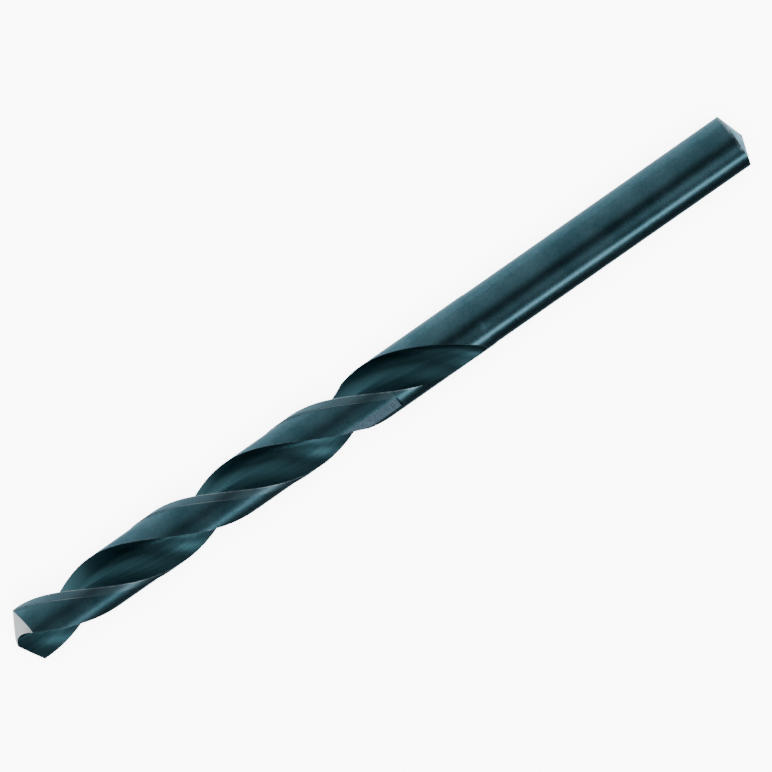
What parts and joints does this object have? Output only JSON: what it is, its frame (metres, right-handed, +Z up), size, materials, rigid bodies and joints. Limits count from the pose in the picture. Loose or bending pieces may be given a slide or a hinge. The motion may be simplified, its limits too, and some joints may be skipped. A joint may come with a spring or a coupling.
{
  "type": "twist drill bit",
  "caption": "Straight-shank twist drill with two helical flutes, narrow margins, a ground conical point and a black oxide finish.",
  "frame": {"origin": "on the drill's axis, where the shank's cylinder meets the conical tail", "axes": "+X along the axis from the point to the tail, +Y along the lips at the point, +Z up as the drill lies on its side"},
  "size_m": [0.109, 0.0074, 0.0072],
  "materials": {
    "oxide_steel": "dark blue-black steam oxide over ground steel, semi-gloss, with the two flanks of the point and the conical tail bare"
  },
  "bodies": {
    "root": {"twist_drill": "oxide_steel"}
  },
  "joints": []
}
